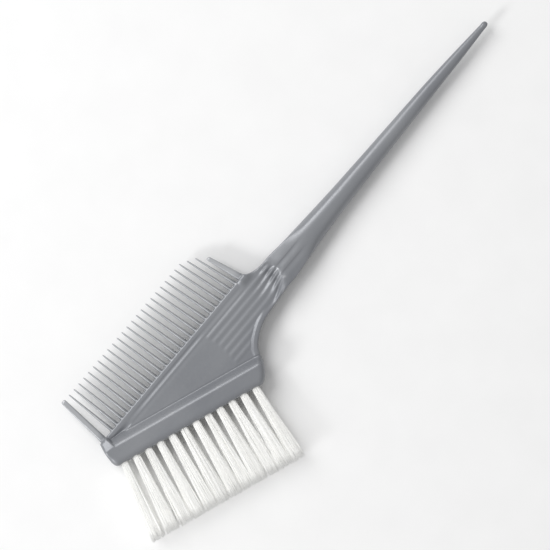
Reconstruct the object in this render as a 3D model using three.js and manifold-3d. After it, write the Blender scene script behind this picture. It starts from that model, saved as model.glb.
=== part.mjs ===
// Tint brush: one plastic moulding with a pointed handle, a comb and a bristle bar,
// nylon tufts set in blind holes in the bar, and a metal anchor through each tuft's fold.
// Millimetres. The moulding is drawn with the handle's axis on X (tip at +X) and its
// mid-plane on Z = 0, then the whole brush is set down with the centre of its box on the origin.

import * as THREE from 'three';
import { mergeVertices } from 'three/addons/utils/BufferGeometryUtils.js';
import Module from 'manifold-3d';

// Bristle bar. S runs along its front face towards the handle, T out along the bristles.
const BAR_ANGLE = THREE.MathUtils.degToRad(20.2);
const BAR_START = new THREE.Vector2(-81.9, -2.5);
const BAR_HALF_THICKNESS = 4.6;
const BAR_TOP_DEPTH = 7.2;
const BAR_FOOT_DEPTH = 9.1;
const BAR_FOOT_HALF_THICKNESS = 2.2;
const BAR_FRONT_ROUND = 1.1;
const BAR_OVERRUN = -6;
const BAR_END = 62;

// Blade, with its raised border on the handle side, and on each face a groove under the comb
// and grip ribs.
const BLADE_HALF_THICKNESS = 1.9;
const RIM_HALF_THICKNESS = 2.4;
const RIM_ROUND = 0.6;
const GROOVE_Y = 6.0;
const GROOVE_START_X = -79.5;
const GROOVE_END_X = -27.5;
const GROOVE_HALF_WIDTH = 1.0;
const GROOVE_DEPTH = 0.55;
const RIB_COUNT = 6;
const RIB_PITCH = 2.52;
const RIB_TOP_Y = 3.2;
const RIB_START_X = -29.1;
const RIB_START_BOW = 0.12;
const RIB_NECK_X = 2;
const RIB_SHORT_ENDS = [-13, -18.5];
const RIB_HALF_WIDTH = 0.62;
const RIB_RISE = 0.5;

// Comb.
const COMB_ROOT_Y = 8.25;
const COMB_TIP_Y = 28.1;
const TOOTH_COUNT = 26;
const TOOTH_FIRST_X = -76.0;
const TOOTH_ROOT_PITCH = 2.68;
const TOOTH_TIP_PITCH = 2.6;
const TOOTH_ROOT_WIDTH = 1.25;
const TOOTH_TIP_WIDTH = 0.5;
const TOOTH_ROOT_THICKNESS = 3.0;
const TOOTH_TIP_THICKNESS = 1.0;

// Handle stations from the neck to the tip, each with its X, the Y of its middle, its half
// width, its half height and the half height of the flats on its two faces.
const HANDLE_STATIONS = [
  [-3.0, -0.3, 3.6, 1.3, 1.2],
  [0.5, -0.3, 5.2, 2.6, 2.2],
  [4.0, -0.4, 5.9, 4.1, 3.3],
  [12.0, -0.45, 5.5, 4.2, 3.5],
  [21.0, -0.25, 4.85, 4.1, 3.75],
  [37.5, -0.1, 3.95, 3.75, 3.75],
  [52.5, 0.0, 3.4, 3.3, 3.3],
  [68.0, 0.1, 2.95, 2.95, 2.95],
  [88.0, 0.2, 2.35, 2.35, 2.35],
  [102.0, 0.1, 1.8, 1.8, 1.8],
  [115.0, 0.0, 1.1, 1.1, 1.1],
];
const HANDLE_TIP_X = 117.8;
const HANDLE_SIDES = 20;
const HANDLE_RINGS = 24;

// Tufts and their anchors.
const TUFT_COLUMNS = 12;
const TUFT_ROWS = 2;
const TUFT_PITCH = 4.795;
const ROW_SPACING = 4.0;
const HOLE_RADIUS = 1.6;
const HOLE_DEPTH = 7.3;
const FIT_GAP = 0.3;
const TUFT_TIP_RADIUS = 1.85;
const TUFT_LENGTH = 28.6;
const TUFT_ROW_SPREAD = 0.3;
const TUFT_SIDES = 12;
const ANCHOR_LENGTH = 3.4;
const ANCHOR_HEIGHT = 1.6;
const ANCHOR_THICKNESS = 0.3;
const FOLD_THICKNESS = 0.8;

const PLASTIC = { color: 0x83868c, roughness: 0.42, metalness: 0.15 };
const NYLON = { color: 0xf2f1ec, roughness: 0.5, metalness: 0 };
const STEEL = { color: 0xb9bbbd, roughness: 0.35, metalness: 0.9 };

const wasm = await Module();
wasm.setup();

// A closed three.js geometry as a solid that can be joined and cut.
function solid(geometry) {
  const bare = geometry.clone();
  bare.deleteAttribute('normal');
  bare.deleteAttribute('uv');
  const merged = mergeVertices(bare, 1e-4);
  return new wasm.Manifold(new wasm.Mesh({
    numProp: 3,
    vertProperties: new Float32Array(merged.attributes.position.array),
    triVerts: new Uint32Array(merged.index.array),
  }));
}

function geometryOf(manifold) {
  const mesh = manifold.getMesh();
  const geometry = new THREE.BufferGeometry();
  geometry.setAttribute('position', new THREE.BufferAttribute(mesh.vertProperties, 3));
  geometry.setIndex(new THREE.BufferAttribute(mesh.triVerts, 1));
  geometry.computeVertexNormals();
  return geometry;
}

function joinAll(solids) {
  return solids.reduce((sum, next) => sum.add(next));
}

// A closed loft through rings of equal point counts, each ring a list of THREE.Vector3
// that runs anticlockwise when seen from the far end of the loft.
function loft(rings) {
  const sides = rings[0].length;
  const last = rings.length - 1;
  const points = rings.flat();
  const faces = [];
  for (let ring = 0; ring < last; ring++) {
    for (let side = 0; side < sides; side++) {
      const a = ring * sides + side;
      const b = ring * sides + (side + 1) % sides;
      faces.push(a, b, b + sides, a, b + sides, a + sides);
    }
  }
  for (let side = 1; side < sides - 1; side++) {
    faces.push(0, side + 1, side);
    faces.push(last * sides, last * sides + side, last * sides + side + 1);
  }
  const geometry = new THREE.BufferGeometry().setFromPoints(points);
  geometry.setIndex(faces);
  return geometry;
}

// A point given along the bar's front face and out from it, in the moulding's X and Y.
function barPoint(s, t) {
  const along = new THREE.Vector2(Math.cos(BAR_ANGLE), -Math.sin(BAR_ANGLE));
  const out = new THREE.Vector2(-Math.sin(BAR_ANGLE), -Math.cos(BAR_ANGLE));
  return BAR_START.clone().addScaledVector(along, s).addScaledVector(out, t);
}

// Turns a geometry drawn with S on X, T on Y and the bar's thickness on Z into place.
function placeOnBar(geometry) {
  const flip = new THREE.Matrix4().makeRotationX(Math.PI);
  const turn = new THREE.Matrix4().makeRotationZ(-BAR_ANGLE);
  const move = new THREE.Matrix4().makeTranslation(BAR_START.x, BAR_START.y, 0);
  return geometry.applyMatrix4(move.multiply(turn).multiply(flip));
}

// The outline of the head: bar, far end, comb root, neck and the swept edge to the bar.
function headOutline() {
  const shape = new THREE.Shape();
  const frontEnd = barPoint(55, 0);
  const cornerControl = barPoint(57.8, -0.4);
  const cornerEnd = barPoint(59.9, -7);
  const farFront = barPoint(-1.7, 0);
  const farCorner = barPoint(-3.4, -0.1);
  const farSide = barPoint(-3.9, -2.8);
  const farTop = barPoint(-4.2, -5.6);
  shape.moveTo(20, -1.5);
  shape.splineThru([
    new THREE.Vector2(10, -4.8),
    new THREE.Vector2(3, -6.3),
    new THREE.Vector2(-4, -6.9),
    new THREE.Vector2(-11.7, -7.7),
    new THREE.Vector2(-17, -9.6),
    new THREE.Vector2(-21.2, -12.6),
    cornerEnd,
  ]);
  shape.quadraticCurveTo(cornerControl.x, cornerControl.y, frontEnd.x, frontEnd.y);
  shape.lineTo(farFront.x, farFront.y);
  shape.quadraticCurveTo(farCorner.x, farCorner.y, farSide.x, farSide.y);
  shape.lineTo(farTop.x, farTop.y);
  shape.quadraticCurveTo(-83.3, 6.4, -82.4, COMB_ROOT_Y);
  shape.lineTo(-4.6, COMB_ROOT_Y);
  shape.quadraticCurveTo(-3.2, 6.0, 3, 5.5);
  shape.quadraticCurveTo(9, 4.8, 20, 1.5);
  return shape;
}

// The head's outline as a slab with rounded edges.
function slab(halfThickness, round, outline) {
  const geometry = new THREE.ExtrudeGeometry(outline, {
    depth: 2 * (halfThickness - round),
    bevelThickness: round,
    bevelSize: round,
    bevelOffset: -round,
    bevelSegments: 2,
    curveSegments: 5,
  });
  return geometry.translate(0, 0, round - halfThickness);
}

// A block that cuts one face of the head down to the blade, all but the border between the
// bar and the neck.
function bladeCut(side) {
  const shape = new THREE.Shape();
  const beyondComb = COMB_ROOT_Y + 2;
  const insideNeck = 6;
  const barFar = barPoint(BAR_OVERRUN, -BAR_TOP_DEPTH);
  const barNear = barPoint(57.6, -BAR_FOOT_DEPTH + 0.6);
  shape.moveTo(barFar.x, barFar.y);
  shape.lineTo(barNear.x, barNear.y);
  shape.splineThru([
    new THREE.Vector2(-21.8, -10.9),
    new THREE.Vector2(-17.2, -7.9),
    new THREE.Vector2(-11.2, -6.1),
    new THREE.Vector2(-3, -5.1),
    new THREE.Vector2(insideNeck, -4.2),
  ]);
  shape.lineTo(insideNeck, beyondComb);
  shape.lineTo(barFar.x, beyondComb);
  const depth = RIM_HALF_THICKNESS - BLADE_HALF_THICKNESS + 1;
  const geometry = new THREE.ExtrudeGeometry(shape, { depth, bevelEnabled: false, curveSegments: 8 });
  const low = side > 0 ? BLADE_HALF_THICKNESS : -BLADE_HALF_THICKNESS - depth;
  return geometry.translate(0, 0, low);
}

// A block past the bar's front and ends, sloping down to the blade at the back.
function barBlock() {
  const outside = 1;
  const top = BAR_HALF_THICKNESS + outside;
  const foot = BAR_FOOT_HALF_THICKNESS;
  const slope = (BAR_HALF_THICKNESS - foot) / (BAR_FOOT_DEPTH - BAR_TOP_DEPTH);
  const shape = new THREE.Shape();
  shape.moveTo(outside, -top);
  shape.lineTo(outside, top);
  shape.lineTo(outside / slope - BAR_TOP_DEPTH, top);
  shape.lineTo(-BAR_FOOT_DEPTH, foot);
  shape.lineTo(-BAR_FOOT_DEPTH, -foot);
  shape.lineTo(outside / slope - BAR_TOP_DEPTH, -top);
  const geometry = new THREE.ExtrudeGeometry(shape, {
    depth: BAR_END - BAR_OVERRUN,
    bevelEnabled: false,
  });
  // The section's X is T and its Y is the thickness, so the axes are cycled to S, T, Z.
  geometry.applyMatrix4(new THREE.Matrix4().set(
    0, 0, 1, BAR_OVERRUN,
    1, 0, 0, 0,
    0, 1, 0, 0,
    0, 0, 0, 1,
  ));
  return placeOnBar(geometry);
}

// The web that carries the bar round the far end up to the comb, thinning as it rises.
function farWeb() {
  const low = barPoint(0, -5);
  const rings = [
    [low.x, low.y, 2.6, BAR_HALF_THICKNESS],
    [-80.9, 6.5, 1.6, 3.4],
    [-80.7, COMB_ROOT_Y, 1.2, RIM_HALF_THICKNESS],
  ];
  return loft(rings.map(([x, y, halfWidth, halfHeight]) => block(x, y, halfWidth, halfHeight)));
}

// A rectangle with cut corners across Y, as a loft ring that rises along +Y.
function block(x, y, halfWidth, halfHeight) {
  const cut = 0.35 * Math.min(halfWidth, halfHeight);
  const corners = [
    [halfWidth - cut, halfHeight], [halfWidth, halfHeight - cut],
    [halfWidth, cut - halfHeight], [halfWidth - cut, -halfHeight],
    [cut - halfWidth, -halfHeight], [-halfWidth, cut - halfHeight],
    [-halfWidth, halfHeight - cut], [cut - halfWidth, halfHeight],
  ];
  return corners.map(([dx, dz]) => new THREE.Vector3(x + dx, y, dz));
}

// One comb tooth from its root to its tip: it narrows and thins, and its end is rounded off.
function tooth(rootX, tipX, tipY, rootWidth, tipWidth) {
  const rootY = COMB_ROOT_Y - 1;
  const endRound = 0.9;
  const ring = (share, grow) => block(
    THREE.MathUtils.lerp(rootX, tipX, share),
    THREE.MathUtils.lerp(rootY, tipY - endRound, share),
    grow * THREE.MathUtils.lerp(rootWidth, tipWidth, share) / 2,
    grow * THREE.MathUtils.lerp(TOOTH_ROOT_THICKNESS, TOOTH_TIP_THICKNESS, share) / 2,
  );
  const end = ring(1, 0.5).map((point) => point.setY(tipY));
  return loft([ring(0, 1), ring(1, 1), end]);
}

// The comb: a thicker guard tooth at each end, and the fine teeth, the last two shorter.
function combTeeth() {
  const teeth = [tooth(-80.6, -79.4, COMB_TIP_Y, 2.5, 1.9)];
  const shortened = { [TOOTH_COUNT - 2]: 1.4, [TOOTH_COUNT - 1]: 3.0 };
  for (let i = 0; i < TOOTH_COUNT; i++) {
    const rootX = TOOTH_FIRST_X + i * TOOTH_ROOT_PITCH;
    const tipX = TOOTH_FIRST_X - 0.3 + i * TOOTH_TIP_PITCH;
    const tipY = COMB_TIP_Y - (shortened[i] ?? 0);
    teeth.push(tooth(rootX, tipX, tipY, TOOTH_ROOT_WIDTH, TOOTH_TIP_WIDTH));
  }
  teeth.push(tooth(-6.1, -8.5, COMB_TIP_Y - 6.4, 2.6, 1.5));
  return teeth;
}

// A strip along X on one face. Its section, in Y and height over the base, shrinks to each
// stop's share.
function strip(y, side, base, section, stops) {
  const points = side < 0 ? [...section].reverse() : section;
  return loft(stops.map(([x, share]) => points.map(([dy, rise]) => (
    new THREE.Vector3(x, y + dy * share, side * (base + rise * share))
  ))));
}

// The grip ribs on one face: low round-backed ridges that run from the blade up to the neck.
// The two nearest the bar stop at the raised border.
function gripRibs(side) {
  const buried = 0.4;
  const crest = RIB_RISE + buried;
  const section = [[-RIB_HALF_WIDTH, 0], [RIB_HALF_WIDTH, 0], [0.3, crest], [-0.3, crest]];
  const ribs = [];
  for (let i = 0; i < RIB_COUNT; i++) {
    const middle = (RIB_COUNT - 1) / 2;
    const startX = RIB_START_X - RIB_START_BOW * (i - middle) ** 2;
    const endX = RIB_SHORT_ENDS[i - RIB_COUNT + RIB_SHORT_ENDS.length] ?? RIB_NECK_X;
    const stops = [[startX, 0.3], [startX + 0.8, 1], [endX, 1]];
    ribs.push(strip(RIB_TOP_Y - i * RIB_PITCH, side, BLADE_HALF_THICKNESS - buried, section, stops));
  }
  return ribs;
}

// The V-shaped groove on one face between the comb and the blade, shallower at its ends.
function combGroove(side) {
  const above = 0.2;
  const halfWidth = GROOVE_HALF_WIDTH * (1 + above / GROOVE_DEPTH);
  const section = [[-halfWidth, 0], [0, -GROOVE_DEPTH - above], [halfWidth, 0]];
  const stops = [
    [GROOVE_START_X, 0.2],
    [GROOVE_START_X + 3, 1],
    [GROOVE_END_X - 4, 1],
    [GROOVE_END_X, 0.2],
  ];
  return strip(GROOVE_Y, side, BLADE_HALF_THICKNESS + above, section, stops);
}

// A smooth value along the handle from one column of the stations.
function stationValue(x, column) {
  const last = HANDLE_STATIONS.length - 1;
  let i = 0;
  while (i < last - 1 && HANDLE_STATIONS[i + 1][0] <= x) i++;
  const before = HANDLE_STATIONS[Math.max(i - 1, 0)];
  const from = HANDLE_STATIONS[i];
  const to = HANDLE_STATIONS[i + 1];
  const after = HANDLE_STATIONS[Math.min(i + 2, last)];
  const span = to[0] - from[0];
  const share = (x - from[0]) / span;
  const slopeAt = (a, b) => (b[0] === a[0] ? 0 : (b[column] - a[column]) / (b[0] - a[0]));
  const startSlope = slopeAt(before, to) * span;
  const endSlope = slopeAt(from, after) * span;
  const s2 = share * share;
  const s3 = s2 * share;
  return (2 * s3 - 3 * s2 + 1) * from[column] + (s3 - 2 * s2 + share) * startSlope
    + (3 * s2 - 2 * s3) * to[column] + (s3 - s2) * endSlope;
}

// The neck and handle: oval with flats at the neck, round further on, with a rounded tip.
function handle() {
  const firstX = HANDLE_STATIONS[0][0];
  const lastX = HANDLE_STATIONS[HANDLE_STATIONS.length - 1][0];
  const rings = [];
  for (let i = 0; i <= HANDLE_RINGS; i++) {
    const x = firstX + (lastX - firstX) * (i / HANDLE_RINGS) ** 1.35;
    rings.push(handleRing(x, 1));
  }
  for (const share of [0.45, 0.8, 1]) {
    const x = lastX + (HANDLE_TIP_X - lastX) * share;
    rings.push(handleRing(x, Math.sqrt(1 - (0.92 * share) ** 2)));
  }
  return loft(rings);
}

function handleRing(x, scale) {
  const sampleX = Math.min(x, HANDLE_STATIONS[HANDLE_STATIONS.length - 1][0]);
  const middle = stationValue(sampleX, 1);
  const halfWidth = scale * stationValue(sampleX, 2);
  const halfHeight = scale * stationValue(sampleX, 3);
  const flat = scale * stationValue(sampleX, 4);
  const ring = [];
  for (let side = 0; side < HANDLE_SIDES; side++) {
    const angle = 2 * Math.PI * (side + 0.5) / HANDLE_SIDES;
    const z = THREE.MathUtils.clamp(halfHeight * Math.sin(angle), -flat, flat);
    ring.push(new THREE.Vector3(x, middle + halfWidth * Math.cos(angle), z));
  }
  return ring;
}

// Sideways lean of a column's bristles: most at the far end, a little at the handle end.
function columnLean(column) {
  const middle = (TUFT_COLUMNS - 1) / 2;
  const c = (column - middle) / middle;
  const degrees = 2 * c - (c < 0 ? 3.2 * c ** 4 : 0);
  return Math.tan(THREE.MathUtils.degToRad(degrees));
}

function rowOffset(row) {
  return (row - (TUFT_ROWS - 1) / 2) * ROW_SPACING;
}

// One tuft in S, T and thickness: it fills its hole, then widens and leans towards its tip.
function tuftSolid(column, row) {
  const bottom = FIT_GAP - HOLE_DEPTH;
  const stations = [
    [bottom, HOLE_RADIUS - FIT_GAP - 0.2],
    [bottom + 0.5, HOLE_RADIUS - FIT_GAP],
    [0.6, HOLE_RADIUS - FIT_GAP],
    [4, 1.55],
    [12, 1.7],
    [22, TUFT_TIP_RADIUS - 0.05],
    [TUFT_LENGTH - 0.8, TUFT_TIP_RADIUS],
    [TUFT_LENGTH, TUFT_TIP_RADIUS - 0.7],
  ];
  const z0 = rowOffset(row);
  const rings = stations.map(([t, radius]) => {
    const free = Math.max(t, 0);
    const s = column * TUFT_PITCH + columnLean(column) * free;
    const z = z0 + Math.sign(z0) * TUFT_ROW_SPREAD * THREE.MathUtils.smoothstep(free, 0, TUFT_LENGTH);
    return circle(s, t, z, radius);
  });
  return solid(loft(rings)).subtract(solid(anchorSpace(column, row)));
}

// A circle across T, as a loft ring that rises along +T.
function circle(s, t, z, radius) {
  const ring = [];
  for (let side = 0; side < TUFT_SIDES; side++) {
    const angle = -2 * Math.PI * side / TUFT_SIDES;
    ring.push(new THREE.Vector3(s + radius * Math.cos(angle), t, z + radius * Math.sin(angle)));
  }
  return ring;
}

function anchorMiddle() {
  return FIT_GAP - HOLE_DEPTH + FOLD_THICKNESS + FIT_GAP + ANCHOR_HEIGHT / 2;
}

function boxOnBar(length, height, thickness, column, row) {
  const geometry = new THREE.BoxGeometry(length, height, thickness);
  return geometry.translate(column * TUFT_PITCH, anchorMiddle(), rowOffset(row));
}

function anchorSpace(column, row) {
  const gap = 2 * FIT_GAP;
  return boxOnBar(ANCHOR_LENGTH + gap, ANCHOR_HEIGHT + gap, ANCHOR_THICKNESS + gap, column, row);
}

// The blind hole for one tuft, with the nicks that its anchor's ends bite into its wall.
function tuftHole(column, row) {
  const mouth = 1;
  const rings = [-HOLE_DEPTH, mouth].map((t) => (
    circle(column * TUFT_PITCH, t, rowOffset(row), HOLE_RADIUS)
  ));
  return solid(placeOnBar(loft(rings))).add(solid(placeOnBar(anchorSpace(column, row))));
}

function forEachTuft(visit) {
  for (let row = 0; row < TUFT_ROWS; row++) {
    for (let column = 0; column < TUFT_COLUMNS; column++) visit(column, row);
  }
}

// The whole moulding.
function bodySolid() {
  const outline = headOutline();
  const thickHead = solid(slab(BAR_HALF_THICKNESS, BAR_FRONT_ROUND, outline));
  const parts = [
    thickHead.intersect(solid(barBlock())),
    thickHead.intersect(solid(farWeb())),
    solid(handle()),
    ...combTeeth().map(solid),
  ];
  let blade = solid(slab(RIM_HALF_THICKNESS, RIM_ROUND, outline));
  for (const side of [1, -1]) {
    blade = blade.subtract(solid(bladeCut(side))).subtract(solid(combGroove(side)));
    parts.push(...gripRibs(side).map(solid));
  }
  const holes = [];
  forEachTuft((column, row) => holes.push(tuftHole(column, row)));
  return joinAll([blade, ...parts]).subtract(joinAll(holes));
}

function named(name, geometry, look) {
  const mesh = new THREE.Mesh(geometry, new THREE.MeshStandardMaterial(look));
  mesh.name = name;
  return mesh;
}

// The brush, set down with the centre of its box over the origin and its underside on Z = 0.
function tintBrush() {
  const brush = new THREE.Group();
  brush.add(named('body', geometryOf(bodySolid()), PLASTIC));
  forEachTuft((column, row) => {
    const label = `${row + 1}_${column + 1}`;
    const tuft = placeOnBar(geometryOf(tuftSolid(column, row)));
    const anchor = boxOnBar(ANCHOR_LENGTH, ANCHOR_HEIGHT, ANCHOR_THICKNESS, column, row);
    brush.add(named(`tuft_${label}`, tuft, NYLON));
    brush.add(named(`anchor_${label}`, placeOnBar(anchor), STEEL));
  });
  const box = new THREE.Box3().setFromObject(brush);
  const centre = box.getCenter(new THREE.Vector3());
  brush.position.set(-centre.x, -centre.y, -box.min.z);
  brush.updateMatrixWorld(true);
  return brush;
}

export default tintBrush();
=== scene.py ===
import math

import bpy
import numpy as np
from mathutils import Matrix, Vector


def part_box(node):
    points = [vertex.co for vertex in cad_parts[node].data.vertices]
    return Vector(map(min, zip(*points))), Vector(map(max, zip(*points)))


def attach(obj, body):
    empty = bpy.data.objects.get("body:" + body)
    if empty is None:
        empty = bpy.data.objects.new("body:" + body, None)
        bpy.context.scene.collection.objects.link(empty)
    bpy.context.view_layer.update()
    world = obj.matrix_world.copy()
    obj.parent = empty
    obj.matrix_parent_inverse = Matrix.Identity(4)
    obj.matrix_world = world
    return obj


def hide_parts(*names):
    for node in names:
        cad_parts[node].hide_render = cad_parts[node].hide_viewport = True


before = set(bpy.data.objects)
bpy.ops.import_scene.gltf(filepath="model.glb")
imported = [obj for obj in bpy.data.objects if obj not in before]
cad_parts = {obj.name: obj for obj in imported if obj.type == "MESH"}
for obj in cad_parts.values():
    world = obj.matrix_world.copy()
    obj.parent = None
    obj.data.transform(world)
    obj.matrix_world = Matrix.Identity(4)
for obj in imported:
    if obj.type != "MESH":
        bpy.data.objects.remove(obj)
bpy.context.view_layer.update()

# Tint brush: one plastic moulding with a pointed handle, a comb and a bristle bar, twenty-four
# nylon tufts set in holes in the bar, and a metal anchor through the fold of each tuft.
#
# Lengths are millimetres until a mesh is made. The moulding is drawn with the handle's axis on
# X, its tip at +X, the comb towards +Y and the mid-plane on Z = 0. On the bristle bar, S runs
# along the front face towards the handle and T runs out along the bristles.

MM = 0.001

# Bristle bar.
BAR_ANGLE = math.radians(20.2)
BAR_START = (-81.9, -2.5)
BAR_HALF_THICKNESS = 4.6
BAR_TOP_DEPTH = 7.2
BAR_FOOT_DEPTH = 9.1
BAR_FOOT_HALF_THICKNESS = 2.2
BAR_FRONT_ROUND = 2.6
BAR_END_ROUND = 2.4
BAR_TOP_ROUND = 1.3
WEB_FACE_X = -79.4

# Blade and neck.
BLADE_HALF_THICKNESS = 1.9
BLADE_ROUND = 0.7
RIM_RISE = 0.42
RIM_WIDTH = 2.2
# Every groove has the Y of its middle, its reach below and above it, and its depth.
COMB_GROOVE = (6.1, 1.3, 0.75, 0.2)
RIB_GROOVE = (4.4, 1.4, 0.45, 0.05)
PIT = (4.85, 0.5, 1.95, 1.4)
RIB_COUNT = 6
RIB_PITCH = 2.52
RIB_TOP_Y = 3.2
RIB_RISE = 0.12
RIB_START_X = -29.3
FACET_ANGLE = math.radians(10)
FACET_CREST = -0.1
FACET_REACH = 3.83
NECK_START_X = 4.0
NECK_GROOVES = ((1.05, 2.2, 0.5, 0.16), (-2.0, 2.0, 0.6, 0.2))

# Comb.
COMB_ROOT_Y = 8.25
COMB_TIP_Y = 28.1
TOOTH_COUNT = 26
TOOTH_FIRST_X = -76.0
TOOTH_ROOT_PITCH = 2.68
TOOTH_TIP_PITCH = 2.6
TOOTH_TIP_SHIFT = 0.3
TOOTH_ROOT_WIDTH = 1.3
TOOTH_TIP_WIDTH = 0.5
TOOTH_ROOT_THICKNESS = 3.4
TOOTH_TIP_THICKNESS = 0.9
TOOTH_ROOT_ROUND = 1.1
TOOTH_TIP_ROUND = 0.35
TOOTH_END_ROUND = 0.9
# Root X, tip X, how much shorter than the longest tooth, root width and tip width.
FAR_GUARD = (-80.6, -79.4, 0, 2.5, 1.9)
NECK_GUARD = (-6.1, -8.5, 6.4, 2.6, 1.5)

# Handle: X, the Y of its middle, its half width, its half height and the half height of the
# flats on its two faces.
HANDLE_STATIONS = np.array([
    (-3.0, -0.3, 3.6, 1.3, 1.2),
    (0.5, -0.3, 5.2, 2.6, 2.2),
    (4.0, -0.4, 5.9, 4.1, 3.3),
    (12.0, -0.45, 5.5, 4.2, 3.5),
    (21.0, -0.25, 4.85, 4.1, 3.75),
    (37.5, -0.1, 3.95, 3.75, 3.75),
    (52.5, 0.0, 3.4, 3.3, 3.3),
    (68.0, 0.1, 2.95, 2.95, 2.95),
    (88.0, 0.2, 2.35, 2.35, 2.35),
    (102.0, 0.1, 1.8, 1.8, 1.8),
    (115.0, 0.0, 1.1, 1.1, 1.1),
])
HANDLE_TIP_X = 117.8
HANDLE_TIP_ROUND = 1.6
HANDLE_FLAT_ROUND = 0.8

# Tufts, their holes and their anchors.
TUFT_COLUMNS = 12
TUFT_ROWS = 2
TUFT_PITCH = 4.795
ROW_SPACING = 4.0
HOLE_RADIUS = 1.6
HOLE_DEPTH = 7.3
HOLE_FLARE = 0.12
TUFT_LENGTH = 28.7
ANCHOR_MIDDLE_T = -5.1
ANCHOR_SLOT = (4.0, 2.2, 0.9)           # length, height, thickness
FILAMENTS = 60
FILAMENT_RADIUS = 0.11
FILAMENT_SIDES = 5
# T along a filament's leg, from its fold in the hole to its tip.
LEG_HEIGHTS = np.array([-5.9, -3.6, -1.0, 0.0, 1.5, 4.0, 8.0, 12.0, 16.0, 20.0, 24.0, 27.0])
FILAMENT_RINGS = 2 * len(LEG_HEIGHTS) + 3

# Looks. The teeth's span, share and tint below give a painted sheen: from where to where, in
# metres up the frame's Y, the plastic turns paler, standing in for the light that the comb's
# thin rounded teeth catch.
PAINTED_SHEEN_SPAN = (0.0182, 0.0215)
PAINTED_SHEEN_SHARE = 0.8
PAINTED_SHEEN_TINT = (0.42, 0.43, 0.445, 1)
WORN_TINT = (0.34, 0.345, 0.355, 1)
LAMP_SHARE = 0.94                       # of a lamp's light that each filament lets past

# Floor, lights and camera. A light has its place, its size across and its power in watts.
FLOOR_HALF_SIZE = 3.0
KEY_LIGHT = ((-0.1, 0.95, 1.0), 1.0, 11.6)
SIDE_LIGHT = ((-1.3, 0.3, 0.75), 0.4, 8)
WORLD_STRENGTH = 0.46
VIEW_ANGLE = math.radians(49.9)
VIEW_CENTRE = (2.25, -0.4)
VIEW_WIDTH = 192.5
CAMERA_HEIGHT = 1.2
SENSOR_WIDTH = 36.0
DIFFUSE_BOUNCES = 12
CLEAR_BOUNCES = 40

# The moulding's mesh.
GRID_STEP = 0.17
BODY_FACES = 190000


# ---------------------------------------------------------------- curves in the drawing plane

def bar_point(s, t):
    """A point along the bar and out from its front face, in the drawing's X and Y."""
    x = BAR_START[0] + s * math.cos(BAR_ANGLE) - t * math.sin(BAR_ANGLE)
    y = BAR_START[1] - s * math.sin(BAR_ANGLE) - t * math.cos(BAR_ANGLE)
    return x, y


def bar_coordinates(x, y):
    """S and T of a point of the drawing."""
    dx = x - BAR_START[0]
    dy = y - BAR_START[1]
    s = dx * math.cos(BAR_ANGLE) - dy * math.sin(BAR_ANGLE)
    t = -dx * math.sin(BAR_ANGLE) - dy * math.cos(BAR_ANGLE)
    return s, t


def bend(start, control, end, steps=8):
    """Points of a quadratic curve after its start."""
    points = []
    for i in range(1, steps + 1):
        k = i / steps
        weights = ((1 - k) ** 2, 2 * k * (1 - k), k * k)
        points.append(tuple(
            weights[0] * a + weights[1] * b + weights[2] * c
            for a, b, c in zip(start, control, end)
        ))
    return points


def spline(stops, steps=8):
    """Points of a smooth curve through the stops."""
    stops = np.array(stops)
    padded = np.vstack([stops[:1], stops, stops[-1:]])
    points = [tuple(stops[0])]
    for i in range(len(stops) - 1):
        before, start, end, after = padded[i:i + 4]
        for j in range(1, steps + 1):
            k = j / steps
            points.append(tuple(0.5 * (
                2 * start + (end - before) * k
                + (2 * before - 5 * start + 4 * end - after) * k ** 2
                + (3 * start - before - 3 * end + after) * k ** 3
            )))
    return points


def head_outline():
    """The head from above: the swept edge, the bar, the far end, the comb's root and the lug."""
    corner_end = bar_point(59.9, -7)
    points = spline([
        (20, -1.5), (10, -4.8), (3, -6.3), (-4, -6.9),
        (-11.7, -7.7), (-17, -9.6), (-21.2, -12.6), corner_end,
    ])
    points += bend(corner_end, bar_point(57.8, -0.4), bar_point(55, 0))
    far_front = bar_point(-1.7, 0)
    far_top = bar_point(-4.2, -5.6)
    points.append(far_front)
    points += bend(far_front, bar_point(-3.4, -0.1), bar_point(-3.9, -2.8))
    points.append(far_top)
    points += bend(far_top, (-83.3, 6.4), (-82.4, COMB_ROOT_Y))
    lug_root = (-4.6, COMB_ROOT_Y)
    lug_foot = (3, 5.5)
    points.append(lug_root)
    points += bend(lug_root, (-3.2, 6.0), lug_foot)
    points += bend(lug_foot, (9, 4.8), (20, 1.5))
    return points


# ---------------------------------------------------------------- fields
# A field holds one number for each point of a grid: negative inside a shape, zero on its
# surface, and about the distance to it outside.

def grid_axis(low, high):
    """Whole grid steps that cover low to high."""
    first = math.floor(low / GRID_STEP)
    last = math.ceil(high / GRID_STEP)
    return np.arange(first, last + 1, dtype=np.float32) * np.float32(GRID_STEP)


def smooth_max(a, b, reach):
    """The greater of two fields, with their crease rounded over reach."""
    near = np.maximum(reach - np.abs(a - b), 0)
    return np.maximum(a, b) + near * near / (4 * reach)


def smooth_min(a, b, reach):
    """The lesser of two fields, with their crease rounded over reach."""
    return -smooth_max(-a, -b, reach)


def ramp(value, start, end):
    """From 0 at start to 1 at end, with no corner at either."""
    share = np.clip((value - start) / (end - start), 0, 1)
    return share * share * (3 - 2 * share)


def mix(a, b, share):
    """From a at share 0 to b at share 1."""
    return a + (b - a) * share


def hump(offset, half_width):
    """A smooth hump of height 1 that ends half_width to either side."""
    return 0.5 + 0.5 * np.cos(math.pi * np.clip(offset / half_width, -1, 1))


def slide(value, start, end):
    """From 0 at start to 1 at end in a straight line, with its two corners rounded."""
    share = (value - start) / (end - start)
    return smooth_min(smooth_max(share, 0, 0.2), 1, 0.2)


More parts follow.
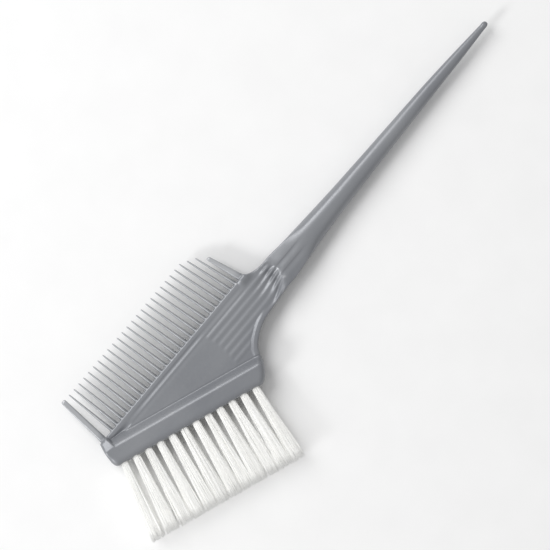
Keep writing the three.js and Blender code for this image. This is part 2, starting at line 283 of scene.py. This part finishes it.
def outline_field(outline, x, y):
    """Distance from a closed outline in the plane, negative inside it."""
    nearest = np.full(x.shape, np.inf, dtype=np.float32)
    inside = np.zeros(x.shape, dtype=bool)
    for (ax, ay), (bx, by) in zip(outline, outline[1:] + outline[:1]):
        dx = bx - ax
        dy = by - ay
        length = dx * dx + dy * dy
        if length < 1e-9:
            continue
        share = np.clip(((x - ax) * dx + (y - ay) * dy) / length, 0, 1)
        gap = (x - ax - share * dx) ** 2 + (y - ay - share * dy) ** 2
        nearest = np.minimum(nearest, gap)
        if ay != by:
            crossing = ax + (y - ay) * dx / dy
            inside ^= ((ay > y) != (by > y)) & (x < crossing)
    distance = np.sqrt(nearest)
    return np.where(inside, -distance, distance)


def station_values(x, column):
    """A smooth value along the handle from one column of its stations."""
    xs = HANDLE_STATIONS[:, 0]
    values = HANDLE_STATIONS[:, column]
    slopes = np.gradient(values, xs)
    x = np.clip(x, xs[0], xs[-1])
    i = np.clip(np.searchsorted(xs, x, side="right") - 1, 0, len(xs) - 2)
    span = xs[i + 1] - xs[i]
    k = (x - xs[i]) / span
    k2 = k * k
    k3 = k2 * k
    return (
        (2 * k3 - 3 * k2 + 1) * values[i] + (k3 - 2 * k2 + k) * span * slopes[i]
        + (3 * k2 - 2 * k3) * values[i + 1] + (k3 - k2) * span * slopes[i + 1]
    )


def long_groove(y, middle, below, above, depth):
    """Depth of a groove along the blade that is steeper on one side than on the other."""
    offset = y - middle
    return depth * hump(offset, np.where(offset < 0, below, above))


def neck_groove(x, y):
    """Depth of the two grooves that run from the ribs onto the neck."""
    depth = sum(long_groove(y, *groove) for groove in NECK_GROOVES)
    return depth * ramp(x, 2, 5) * (1 - ramp(x, 12, 21))


def blade_height(x, y, depth):
    """Half height of the blade with its grooves, border and grip ribs."""
    height = np.full(x.shape, BLADE_HALF_THICKNESS)
    cut = long_groove(y, *COMB_GROOVE) * ramp(x, -73, -58) * mix(1.0, 0.4, ramp(x, -34, -28))
    cut += long_groove(y, *RIB_GROOVE) * ramp(x, -80.5, -77)
    height -= cut * (1 - ramp(x, -12, -6))
    pit = long_groove(y, *PIT) * ramp(x, -79.7, -78.9) * (1 - ramp(x, -76.5, -68.5))
    lug_lip = ramp(x, -9, -6.5) * (1 - ramp(x, -5, -1.5)) * ramp(y, 4.5, 7.4)
    height += 1.0 * lug_lip - pit

    swept = ramp(x, -26, -22.5) * (1 - ramp(x, -15, -7)) * ramp(-y, 2.5, 5)
    height += RIM_RISE * swept * (1 - ramp(depth, RIM_WIDTH - 0.7, RIM_WIDTH + 0.5))

    # The ribs close up towards the neck and dip, then climb to it before their grooves do.
    closing = ramp(x, -7, 4)
    phase = (RIB_TOP_Y + 0.25 * closing - y) / (RIB_PITCH * (1 - 0.2 * closing))
    on_rib = 0.5 + 0.5 * np.cos(2 * math.pi * phase)
    extent = ramp(phase, -0.5, -0.3) * ramp(-phase, 0.5 - RIB_COUNT, 0.7 - RIB_COUNT)
    bow = 0.12 * (phase - (RIB_COUNT - 1) / 2) ** 2
    extent *= ramp(x, RIB_START_X - bow - 0.6, RIB_START_X - bow + 0.9)
    extent *= 1 - swept * (1 - ramp(depth, RIM_WIDTH, RIM_WIDTH + 0.9))
    neck_top = station_values(np.maximum(x, NECK_START_X), 4) - neck_groove(x, y)
    end_x = 5.4 - 0.09 * (y - 1) ** 2
    rib_climb = slide(x - end_x, -6.2, -0.2)
    groove_climb = slide(x - end_x, -3.5, -0.5)
    on_rib *= extent
    height -= 0.45 * ramp(x, -9.5, 0.5) * hump(y - 0.6, 4.5) * (1 - 0.5 * on_rib)
    climb = mix(groove_climb, rib_climb, on_rib)
    height += RIB_RISE * on_rib * (1 - rib_climb)
    return mix(height, neck_top, climb)


def bar_height(x, y):
    """Half height of the bar, level and then sloping to the blade, and its foot's groove."""
    t = bar_coordinates(x, y)[1]
    fall = (BAR_HALF_THICKNESS - BAR_FOOT_HALF_THICKNESS) / (BAR_FOOT_DEPTH - BAR_TOP_DEPTH)
    slope = BAR_HALF_THICKNESS + fall * (t + BAR_TOP_DEPTH)
    foot = 0.45 * hump(t + BAR_FOOT_DEPTH + 0.1, 0.95)
    return smooth_min(slope, np.full(t.shape, BAR_HALF_THICKNESS), BAR_TOP_ROUND), foot


def web_height(x, y):
    """Half height of the web that carries the bar round the far end up to the comb."""
    crest = BAR_HALF_THICKNESS - 1.4 * ramp(y, 3.5, 9.3)
    return crest - 3.0 * smooth_max(x - WEB_FACE_X, 0, 0.5)


def edge_round(x, y):
    """How far the outline's edges are rounded: little on the blade, most at the bar's ends."""
    s, t = bar_coordinates(x, y)
    ends = np.maximum(ramp(s, 50, 55), 1 - ramp(s, -1.5, 3))
    bar = mix(BAR_FRONT_ROUND, BAR_END_ROUND, ends)
    bar = mix(bar, 1.2, (1 - ramp(x, -82, -79)) * ramp(y, 1, 4))
    return mix(BLADE_ROUND, bar, np.maximum(ramp(t, -10, -7.5), 1 - ramp(x, -82, -79)))


def head_field(x, y, z):
    """The blade, the bar, the far web and the faceted neck."""
    plane_x, plane_y = np.meshgrid(x, y, indexing="ij")
    plan = outline_field(head_outline(), plane_x, plane_y)
    middle = station_values(plane_x, 1)
    half_width = station_values(plane_x, 2)
    neck = np.abs(plane_y - middle) - half_width
    neck = np.maximum(neck, HANDLE_STATIONS[0, 0] - plane_x)
    plan = smooth_min(plan, neck, 0.8)

    height = blade_height(plane_x, plane_y, -plan)
    bar, foot = bar_height(plane_x, plane_y)
    height = smooth_max(height - foot, bar, 0.6)
    height = smooth_max(height, web_height(plane_x, plane_y), 0.3)
    height = np.minimum(height, BAR_HALF_THICKNESS)
    slope_x, slope_y = np.gradient(height, GRID_STEP)
    steepness = np.sqrt(1 + slope_x ** 2 + slope_y ** 2)
    face = (z - height[..., None]) / steepness[..., None]
    field = smooth_max(plan[..., None], face, edge_round(plane_x, plane_y)[..., None])

    reach = mix(FACET_REACH + 2.6, FACET_REACH, ramp(plane_x, -7, 7))
    facet = math.sin(FACET_ANGLE) * np.abs(plane_y - middle - FACET_CREST) - reach
    facet += neck_groove(plane_x, plane_y)
    facet = np.where(plane_x > -8, facet, -9)
    return smooth_max(field, facet[..., None] + math.cos(FACET_ANGLE) * z, 0.4)


def handle_field(x, y, z):
    """The round part of the handle."""
    x = x[:, None, None]
    y = y[None, :, None]
    half_width = station_values(x, 2)
    half_height = station_values(x, 3)
    v = y - station_values(x, 1)
    near = np.sqrt((v / half_width) ** 2 + (z / half_height) ** 2)
    far = np.sqrt((v / half_width ** 2) ** 2 + (z / half_height ** 2) ** 2)
    section = near * (near - 1) / np.maximum(far, 1e-6)
    flats = z - station_values(x, 4)
    section = smooth_max(section, flats, HANDLE_FLAT_ROUND)
    return smooth_max(section, x - HANDLE_TIP_X, HANDLE_TIP_ROUND)


def tooth_field(x, y, z, tooth):
    """One comb tooth: it narrows and thins from its root to a rounded tip."""
    root_x, tip_x, tip_y, root_width, tip_width = tooth
    share = np.clip((y - COMB_ROOT_Y) / (tip_y - COMB_ROOT_Y), 0, 1)[None, :, None]
    middle = mix(root_x, tip_x, share)
    half_width = mix(root_width, tip_width, share) / 2
    half_thickness = mix(TOOTH_ROOT_THICKNESS, TOOTH_TIP_THICKNESS, share) / 2
    side = np.abs(x[:, None, None] - middle) - half_width
    rounding = mix(TOOTH_ROOT_ROUND, TOOTH_TIP_ROUND, share)
    section = smooth_max(side, z - half_thickness, rounding)
    ends = np.maximum(y - tip_y, COMB_ROOT_Y - 1 - y)[None, :, None]
    return smooth_max(section, ends, TOOTH_END_ROUND)


def teeth():
    """Root X, tip X, tip Y, root width and tip width of every tooth, guards included."""
    def guard(root_x, tip_x, shorter, root_width, tip_width):
        return (root_x, tip_x, COMB_TIP_Y - shorter, root_width, tip_width)

    rows = [guard(*FAR_GUARD)]
    shortened = {TOOTH_COUNT - 2: 1.4, TOOTH_COUNT - 1: 3.0}
    for i in range(TOOTH_COUNT):
        root_x = TOOTH_FIRST_X + i * TOOTH_ROOT_PITCH
        tip_x = TOOTH_FIRST_X - TOOTH_TIP_SHIFT + i * TOOTH_TIP_PITCH
        tip_y = COMB_TIP_Y - shortened.get(i, 0)
        rows.append((root_x, tip_x, tip_y, TOOTH_ROOT_WIDTH, TOOTH_TIP_WIDTH))
    rows.append(guard(*NECK_GUARD))
    return rows


def hole_field(x, y, z, column):
    """A blind hole for a tuft, with the nicks that the ends of its anchor bite into."""
    plane_x, plane_y = np.meshgrid(x, y, indexing="ij")
    s, t = bar_coordinates(plane_x, plane_y)
    s = (s - column * TUFT_PITCH)[..., None]
    t = t[..., None]
    v = z - ROW_SPACING / 2
    flare = HOLE_FLARE * ramp(t, -0.5, 0.1)
    hole = np.maximum(np.sqrt(s * s + v * v) - HOLE_RADIUS - flare, -HOLE_DEPTH - t)
    length, height, thickness = ANCHOR_SLOT
    nicks = np.maximum(np.abs(s) - length / 2, np.abs(t - ANCHOR_MIDDLE_T) - height / 2)
    nicks = np.maximum(nicks, np.abs(v) - thickness / 2)
    return np.minimum(hole, nicks)


def window(axis, low, high):
    """The slice of a grid axis from low to high."""
    return slice(int(np.searchsorted(axis, low)), int(np.searchsorted(axis, high)))


def body_field():
    """The upper half of the moulding's field, and the grid it is on."""
    x = grid_axis(-87.4, HANDLE_TIP_X + 1)
    y = grid_axis(-26, COMB_TIP_Y + 1)
    z = grid_axis(0, BAR_HALF_THICKNESS + 0.8)
    field = np.full((len(x), len(y), len(z)), 1.0, dtype=np.float32)

    head = window(x, -88, 24), slice(None)
    field[head] = head_field(x[head[0]], y, z)
    tail = window(x, 11, 200), window(y, -8, 8)
    round_part = handle_field(x[tail[0]], y[tail[1]], z)
    share = ramp(x[tail[0]], 12, 23)[:, None, None]
    field[tail] = mix(np.minimum(field[tail], 4), round_part, share)

    for tooth in teeth():
        low_x = min(tooth[:2]) - 2.5
        high_x = max(tooth[:2]) + 2.5
        near = window(x, low_x, high_x), window(y, COMB_ROOT_Y - 2, 100)
        shape = tooth_field(x[near[0]], y[near[1]], z, tooth)
        field[near] = smooth_min(field[near], shape, 0.35)

    for column in range(TUFT_COLUMNS):
        mouth = bar_point(column * TUFT_PITCH, 1)
        bottom = bar_point(column * TUFT_PITCH, -HOLE_DEPTH)
        near = (
            window(x, min(mouth[0], bottom[0]) - 3, max(mouth[0], bottom[0]) + 3),
            window(y, min(mouth[1], bottom[1]) - 3, max(mouth[1], bottom[1]) + 3),
        )
        shape = hole_field(x[near[0]], y[near[1]], z, column)
        field[near] = smooth_max(field[near], -shape, 0.2)
    return field, (x[0], y[0], z[0])


# ---------------------------------------------------------------- meshes

# Where the drawing lies in the frame: its mid-plane, the tip and the comb's tips are known.
BODY_LOW, BODY_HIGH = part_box("body")
DRAWING_SHIFT = np.array([
    BODY_HIGH.x / MM - HANDLE_TIP_X,
    BODY_HIGH.y / MM - COMB_TIP_Y,
    (BODY_LOW.z + BODY_HIGH.z) / 2 / MM,
])


def in_frame(points):
    """Points of the drawing in the frame's metres."""
    return (np.asarray(points) + DRAWING_SHIFT) * MM


def mesh_object(name, points, faces):
    """A smooth-shaded mesh. The faces are one array with a row for each face."""
    mesh = bpy.data.meshes.new(name)
    corners = faces.shape[1]
    mesh.vertices.add(len(points))
    mesh.vertices.foreach_set("co", np.ascontiguousarray(points, dtype=np.float32).ravel())
    mesh.loops.add(faces.size)
    mesh.loops.foreach_set("vertex_index", faces.astype(np.int32).ravel())
    mesh.polygons.add(len(faces))
    mesh.polygons.foreach_set("loop_start", np.arange(0, faces.size, corners, dtype=np.int32))
    mesh.update(calc_edges=True)
    mesh.validate()
    mesh.shade_smooth()
    piece = bpy.data.objects.new(name, mesh)
    bpy.context.scene.collection.objects.link(piece)
    return piece


def surface_net(field, start):
    """The zero surface of a field: a point in each cell that it crosses, and quads between."""
    inside = field < 0
    shape = np.array(field.shape) - 1
    corners = [(i, j, k) for i in (0, 1) for j in (0, 1) for k in (0, 1)]
    count = np.zeros(shape, dtype=np.uint8)
    for i, j, k in corners:
        count += inside[i:i + shape[0], j:j + shape[1], k:k + shape[2]]
    crossed = (count > 0) & (count < 8)
    number = np.full(shape, -1, dtype=np.int64)
    number[crossed] = np.arange(np.count_nonzero(crossed))
    cells = np.argwhere(crossed)

    total = np.zeros((len(cells), 3))
    crossings = np.zeros(len(cells))
    for a in corners:
        for axis in range(3):
            if a[axis]:
                continue
            b = tuple(1 if n == axis else a[n] for n in range(3))
            value_a = field[tuple((cells + a).T)].astype(float)
            value_b = field[tuple((cells + b).T)].astype(float)
            cut = (value_a < 0) != (value_b < 0)
            share = value_a[cut] / (value_a[cut] - value_b[cut])
            point = np.array(a, dtype=float) + np.zeros((len(share), 3))
            point[:, axis] += share
            total[cut] += point
            crossings[cut] += 1
    points = (cells + total / crossings[:, None]) * GRID_STEP + np.array(start)

    quads = []
    for axis in range(3):
        u, v = [n for n in range(3) if n != axis]
        low = inside.take(range(0, shape[axis]), axis)
        high = inside.take(range(1, shape[axis] + 1), axis)
        for found, flip in ((low & ~high, False), (~low & high, True)):
            edges = np.argwhere(found)
            edges = edges[(edges[:, u] > 0) & (edges[:, v] > 0)]
            around = []
            for du, dv in ((-1, -1), (0, -1), (0, 0), (-1, 0)):
                cell = edges.copy()
                cell[:, u] += du
                cell[:, v] += dv
                around.append(number[tuple(cell.T)])
            quad = np.stack(around, axis=1)
            if flip != (axis == 1):
                quad = quad[:, ::-1]
            quads.append(quad)
    return points, np.vstack(quads)


def apply_modifiers(piece):
    """Swaps a piece's mesh for what its modifiers make of it."""
    bpy.context.view_layer.update()
    graph = bpy.context.evaluated_depsgraph_get()
    mesh = bpy.data.meshes.new_from_object(piece.evaluated_get(graph), depsgraph=graph)
    piece.modifiers.clear()
    piece.data = mesh


def moulding():
    """The plastic body in one piece."""
    half, start = body_field()
    field = np.concatenate([half[:, :, :0:-1], half], axis=2)
    start = (start[0], start[1], -(half.shape[2] - 1) * GRID_STEP)
    points, quads = surface_net(field, start)
    piece = mesh_object("brush_body", in_frame(points), quads)
    thin = piece.modifiers.new("thin", "DECIMATE")
    thin.ratio = min(1.0, BODY_FACES / (2 * len(quads)))
    shade = piece.modifiers.new("shade", "WEIGHTED_NORMAL")
    shade.weight = 100
    apply_modifiers(piece)
    return piece


# ---------------------------------------------------------------- tufts

def column_lean(column):
    """Sideways lean of a column: most at the far end, a little at the handle end."""
    middle = (TUFT_COLUMNS - 1) / 2
    c = (column - middle) / middle
    degrees = 2 * c - (3.2 * c ** 4 if c < 0 else 0)
    return math.tan(math.radians(degrees))


def tube(path, radii):
    """Points of a tube along a path, ring after ring."""
    path = np.asarray(path)
    ahead = np.gradient(path, axis=0)
    ahead /= np.linalg.norm(ahead, axis=1)[:, None]
    across = np.cross(ahead, (1.0, 0.0, 0.0))
    across /= np.linalg.norm(across, axis=1)[:, None]
    up = np.cross(across, ahead)
    angles = 2 * math.pi * np.arange(FILAMENT_SIDES) / FILAMENT_SIDES
    ring = (
        np.cos(angles)[None, :, None] * across[:, None, :]
        + np.sin(angles)[None, :, None] * up[:, None, :]
    )
    points = path[:, None, :] + ring * np.asarray(radii)[:, None, None]
    return points.reshape(-1, 3)


def tube_quads():
    """The quads between the rings of one filament."""
    quads = []
    for i in range(FILAMENT_RINGS - 1):
        for j in range(FILAMENT_SIDES):
            a = i * FILAMENT_SIDES + j
            b = i * FILAMENT_SIDES + (j + 1) % FILAMENT_SIDES
            quads.append((a, b, b + FILAMENT_SIDES, a + FILAMENT_SIDES))
    return quads


class Draws:
    """Seeded random numbers for one tuft."""

    def __init__(self, seed):
        self.source = np.random.RandomState(seed)

    def uniform(self, low, high):
        return self.source.uniform(low, high)

    def gauss(self, middle, spread):
        return self.source.normal(middle, spread)

    def random(self):
        return self.source.random_sample()


def filament_path(column, row, rng):
    """A filament from tip to tip, folded round its anchor: points in S, T and thickness."""
    s0 = 1.25 * math.sin(rng.uniform(-1.35, 1.35))
    widest = math.sqrt(1.42 ** 2 - s0 ** 2)
    q0 = 0.28 + (widest - 0.28) * rng.uniform(0, 1) ** 0.8
    row_z = (row - (TUFT_ROWS - 1) / 2) * ROW_SPACING
    legs = []
    for side in (-1, 1):
        tip = TUFT_LENGTH + min(rng.gauss(0, 0.4), 0.6)
        if rng.random() < 0.18:
            tip -= rng.uniform(0.4, 2.8)
        heights = np.where(
            LEG_HEIGHTS > 0, LEG_HEIGHTS * tip / LEG_HEIGHTS[-1], LEG_HEIGHTS,
        )
        free = np.clip(heights / TUFT_LENGTH, 0, None)
        settle = ramp(heights, -4.2, 0.5)
        q = side * mix(q0, max(q0 - 0.24, 0.02) * 1.25, settle)
        grow = 1 + 0.12 * ramp(heights, -1.5, 3) + 0.55 * ramp(heights, 2, 26)
        wild = 3.5 if rng.random() < 0.04 else 1.0
        wander_s = rng.gauss(0, 0.3) * wild
        wander_z = rng.gauss(0, 0.14) * wild
        bow = rng.gauss(0, 0.08)
        curve = free ** 1.4
        s = s0 * grow + wander_s * curve + bow * np.sin(math.pi * free)
        s = s + column * TUFT_PITCH + column_lean(column) * np.maximum(heights, 0)
        z = q * grow + wander_z * curve + np.sign(row_z) * 0.3 * free ** 2
        z = np.clip(row_z + z, -BAR_HALF_THICKNESS + 0.15, BAR_HALF_THICKNESS - 0.15)
        legs.append(np.stack([s, heights, z], axis=1))
    fold = []
    for k in (-0.7, 0.0, 0.7):
        fold.append((
            column * TUFT_PITCH + s0,
            LEG_HEIGHTS[0] - 0.25 - 0.75 * q0 * math.sqrt(1 - k * k),
            row_z + q0 * k,
        ))
    return np.vstack([legs[0][::-1], fold, legs[1]])


def tuft(column, row, rng):
    """One tuft of folded nylon filaments, standing in its hole."""
    quads = np.array(tube_quads())
    points = []
    faces = []
    for i in range(FILAMENTS):
        path = filament_path(column, row, rng)
        thickness = FILAMENT_RADIUS * rng.uniform(0.9, 1.1)
        radii = np.full(FILAMENT_RINGS, thickness)
        radii[[0, -1]] *= 0.55
        x, y = bar_point(path[:, 0], path[:, 1])
        points.append(tube(np.stack([x, y, path[:, 2]], axis=1), radii))
        faces.append(quads + i * FILAMENT_RINGS * FILAMENT_SIDES)
    label = f"{row + 1}_{column + 1}"
    piece = mesh_object(f"bristles_{label}", in_frame(np.vstack(points)), np.vstack(faces))
    cap_ends(piece)
    return piece


def cap_ends(piece):
    """Closes both ends of every filament."""
    sides = FILAMENT_SIDES
    mesh = piece.data
    count = len(mesh.vertices) // (FILAMENT_RINGS * sides)
    extra = []
    for i in range(count):
        first = i * FILAMENT_RINGS * sides
        last = first + (FILAMENT_RINGS - 1) * sides
        extra.append([first + n for n in reversed(range(sides))])
        extra.append([last + n for n in range(sides)])
    start = len(mesh.polygons)
    loops = len(mesh.loops)
    mesh.loops.add(len(extra) * sides)
    mesh.polygons.add(len(extra))
    for i, face in enumerate(extra):
        mesh.polygons[start + i].loop_start = loops + i * sides
        for n, vertex in enumerate(face):
            mesh.loops[loops + i * sides + n].vertex_index = vertex
    mesh.update(calc_edges=True)


# ---------------------------------------------------------------- materials

class Nodes:
    """Adds nodes to a material and links them, an argument at a time."""

    def __init__(self, name):
        self.material = bpy.data.materials.new(name)
        self.material.use_nodes = True
        self.tree = self.material.node_tree
        self.shader = self.tree.nodes["Principled BSDF"]

    def add(self, kind, inputs=None, **settings):
        node = self.tree.nodes.new(kind)
        for key, value in settings.items():
            setattr(node, key, value)
        for key, value in (inputs or {}).items():
            self.feed(node.inputs[key], value)
        return node

    def feed(self, socket, value):
        if isinstance(value, bpy.types.NodeSocket):
            self.tree.links.new(value, socket)
        else:
            socket.default_value = value

    def show(self, node):
        """Puts a shader on the material's surface."""
        self.feed(self.tree.nodes["Material Output"].inputs["Surface"], node.outputs[0])

    def math(self, operation, *values):
        inputs = dict(enumerate(values))
        return self.add("ShaderNodeMath", inputs, operation=operation).outputs[0]

    def remap(self, value, low, high, to_low, to_high):
        inputs = {"Value": value, "From Min": low, "From Max": high,
                  "To Min": to_low, "To Max": to_high}
        return self.add("ShaderNodeMapRange", inputs).outputs["Result"]

    def noise(self, place, scale, detail=2.0, roughness=0.5):
        inputs = {"Vector": place, "Scale": scale, "Detail": detail, "Roughness": roughness}
        return self.add("ShaderNodeTexNoise", inputs).outputs["Fac"]

    def colours(self, value, stops):
        node = self.add("ShaderNodeValToRGB", {"Fac": value})
        ramp_stops = node.color_ramp.elements
        while len(ramp_stops) < len(stops):
            ramp_stops.new(0.5)
        for element, (position, colour) in zip(ramp_stops, stops):
            element.position = position
            element.color = (*colour, 1)
        return node.outputs["Color"]

    def mix_colours(self, share, a, b):
        # The mix node's colour sockets share their names with its other kinds.
        inputs = {"Factor": share, 6: a, 7: b}
        return self.add("ShaderNodeMix", inputs, data_type="RGBA").outputs[2]

    def bump(self, height, distance, strength, normal=None):
        inputs = {"Height": height, "Distance": distance, "Strength": strength}
        if normal is not None:
            inputs["Normal"] = normal
        return self.add("ShaderNodeBump", inputs).outputs["Normal"]


def moulded_plastic():
    """Satin silver-grey plastic with fine metallic pigment, flow streaks, worn edges and a
    painted sheen on the comb's teeth.
    """
    n = Nodes("moulded_plastic")
    place = n.add("ShaderNodeTexCoord").outputs["Object"]
    along = n.add("ShaderNodeMapping", {"Vector": place, "Scale": (0.35, 1.6, 1.0)}).outputs[0]
    flow = n.noise(along, 55.0, 3.0, 0.55)
    cloud = n.noise(place, 28.0, 2.0)
    fleck = n.noise(place, 5200.0, 1.0)
    edge = n.remap(n.add("ShaderNodeNewGeometry").outputs["Pointiness"], 0.5, 0.58, 0.0, 1.0)
    scuff = n.noise(place, 900.0, 4.0, 0.65)

    tone = n.math("ADD", n.math("MULTIPLY", flow, 0.55), n.math("MULTIPLY", cloud, 0.45))
    tone = n.math("ADD", tone, n.math("MULTIPLY", n.math("SUBTRACT", fleck, 0.5), 0.35))
    base = n.colours(tone, (
        (0.28, (0.194, 0.202, 0.223)),
        (0.50, (0.232, 0.241, 0.260)),
        (0.74, (0.271, 0.279, 0.295)),
    ))
    worn = n.math("MULTIPLY", edge, n.remap(scuff, 0.42, 0.62, 0.15, 0.8))
    base = n.mix_colours(worn, base, WORN_TINT)
    # Painted sheen: the comb's teeth are tinted paler than the rest, for the light that their
    # thin rounded tops catch. No light comes through them.
    across = n.add("ShaderNodeSeparateXYZ", {"Vector": place}).outputs["Y"]
    painted_sheen = n.remap(across, *PAINTED_SHEEN_SPAN, 0.0, PAINTED_SHEEN_SHARE)
    base = n.mix_colours(painted_sheen, base, PAINTED_SHEEN_TINT)
    n.feed(n.shader.inputs["Base Color"], base)

    satin = n.remap(cloud, 0.3, 0.7, 0.31, 0.38)
    rough = n.math("ADD", satin, n.remap(scuff, 0.3, 0.7, -0.03, 0.04))
    n.feed(n.shader.inputs["Roughness"], rough)
    n.shader.inputs["Metallic"].default_value = 0.2
    n.shader.inputs["Specular IOR Level"].default_value = 0.65

    ripple = n.bump(flow, 0.00006, 0.35)
    grain = n.bump(n.noise(place, 3800.0, 2.0), 0.000012, 0.4, ripple)
    n.feed(n.shader.inputs["Normal"], grain)
    return n.material


def nylon():
    """White nylon filaments, no two quite the same shade, that let some light through."""
    n = Nodes("nylon")
    place = n.add("ShaderNodeTexCoord").outputs["Object"]
    own = n.add("ShaderNodeNewGeometry").outputs["Random Per Island"]
    cloud = n.math("MULTIPLY", n.noise(place, 120.0), 0.3)
    shade = n.math("ADD", n.math("MULTIPLY", own, 0.7), cloud)
    tint = n.colours(shade, (
        (0.05, (0.840, 0.837, 0.820)),
        (0.40, (0.870, 0.868, 0.855)),
        (0.95, (0.900, 0.900, 0.890)),
    ))
    n.feed(n.shader.inputs["Base Color"], tint)
    n.feed(n.shader.inputs["Roughness"], n.remap(n.noise(place, 2500.0), 0.3, 0.7, 0.4, 0.55))
    n.feed(n.shader.inputs["Normal"], n.bump(n.noise(place, 4000.0), 0.00001, 0.3))
    # A filament holds back only a part of a lamp's light from what lies under it.
    solid = n.shader.outputs[0]
    clear = n.add("ShaderNodeBsdfTransparent").outputs[0]
    sheer = n.add("ShaderNodeMixShader", {"Fac": LAMP_SHARE, 1: solid, 2: clear}).outputs[0]
    shadow = n.add("ShaderNodeLightPath").outputs["Is Shadow Ray"]
    n.show(n.add("ShaderNodeMixShader", {"Fac": shadow, 1: solid, 2: sheer}))
    return n.material


def drawn_wire():
    """Brushed steel of the flat wire that the anchors are cut from."""
    n = Nodes("drawn_wire")
    place = n.add("ShaderNodeTexCoord").outputs["Object"]
    turned = n.add("ShaderNodeMapping", {
        "Vector": place, "Rotation": (0.0, 0.0, BAR_ANGLE), "Scale": (0.15, 3.0, 3.0),
    }).outputs[0]
    streak = n.noise(turned, 3000.0, 3.0, 0.6)
    n.feed(n.shader.inputs["Base Color"], n.colours(streak, (
        (0.3, (0.42, 0.42, 0.42)),
        (0.7, (0.60, 0.60, 0.59)),
    )))
    n.feed(n.shader.inputs["Roughness"], n.remap(streak, 0.3, 0.7, 0.28, 0.42))
    n.shader.inputs["Metallic"].default_value = 1.0
    n.feed(n.shader.inputs["Normal"], n.bump(streak, 0.00001, 0.4))
    return n.material


def pale_paper():
    """The pale floor."""
    n = Nodes("pale_paper")
    place = n.add("ShaderNodeTexCoord").outputs["Object"]
    n.feed(n.shader.inputs["Base Color"], n.colours(n.noise(place, 60.0), (
        (0.3, (0.90, 0.90, 0.90)),
        (0.7, (0.92, 0.92, 0.92)),
    )))
    n.shader.inputs["Roughness"].default_value = 0.8
    return n.material


def paint(piece, material):
    piece.data.materials.clear()
    piece.data.materials.append(material)


# ---------------------------------------------------------------- the brush

def build_brush():
    plastic = moulded_plastic()
    body = moulding()
    paint(body, plastic)
    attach(body, "root")
    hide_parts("body")

    white = nylon()
    wire = drawn_wire()
    for row in range(TUFT_ROWS):
        for column in range(TUFT_COLUMNS):
            label = f"{row + 1}_{column + 1}"
            rng = Draws(100 * row + column)
            bristles = tuft(column, row, rng)
            paint(bristles, white)
            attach(bristles, "root")
            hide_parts(f"tuft_{label}")
            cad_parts[f"anchor_{label}"].material_slots[0].material = wire


# ---------------------------------------------------------------- floor, lights and camera

def add_floor():
    size = FLOOR_HALF_SIZE
    mesh = bpy.data.meshes.new("floor")
    corners = [(-size, -size, 0), (size, -size, 0), (size, size, 0), (-size, size, 0)]
    mesh.from_pydata(corners, [], [(0, 1, 2, 3)])
    floor = bpy.data.objects.new("floor", mesh)
    bpy.context.scene.collection.objects.link(floor)
    paint(floor, pale_paper())


def add_light(name, place, size, power):
    """A soft round lamp that faces the middle of the frame."""
    light = bpy.data.lights.new(name, "AREA")
    light.shape = "DISK"
    light.size = size
    light.energy = power
    lamp = bpy.data.objects.new(name, light)
    lamp.location = place
    lamp.rotation_euler = (-Vector(place)).to_track_quat("-Z", "Y").to_euler()
    bpy.context.scene.collection.objects.link(lamp)


def add_camera():
    centre = in_frame((*VIEW_CENTRE, 0.0))
    camera = bpy.data.cameras.new("camera")
    camera.sensor_width = SENSOR_WIDTH
    camera.lens = SENSOR_WIDTH * CAMERA_HEIGHT / (VIEW_WIDTH * MM)
    camera.clip_end = 10
    eye = bpy.data.objects.new("camera", camera)
    eye.location = (centre[0], centre[1], centre[2] + CAMERA_HEIGHT)
    eye.rotation_euler = (0, 0, -VIEW_ANGLE)
    bpy.context.scene.collection.objects.link(eye)
    bpy.context.scene.camera = eye


def add_world():
    world = bpy.data.worlds.new("studio")
    world.use_nodes = True
    background = world.node_tree.nodes["Background"]
    background.inputs["Color"].default_value = (1, 1, 1, 1)
    background.inputs["Strength"].default_value = WORLD_STRENGTH
    bpy.context.scene.world = world
    bpy.context.scene.view_settings.view_transform = "Standard"
    bpy.context.scene.cycles.diffuse_bounces = DIFFUSE_BOUNCES
    bpy.context.scene.cycles.transparent_max_bounces = CLEAR_BOUNCES


add_camera()
add_floor()
add_world()
add_light("key", *KEY_LIGHT)
add_light("side", *SIDE_LIGHT)
build_brush()
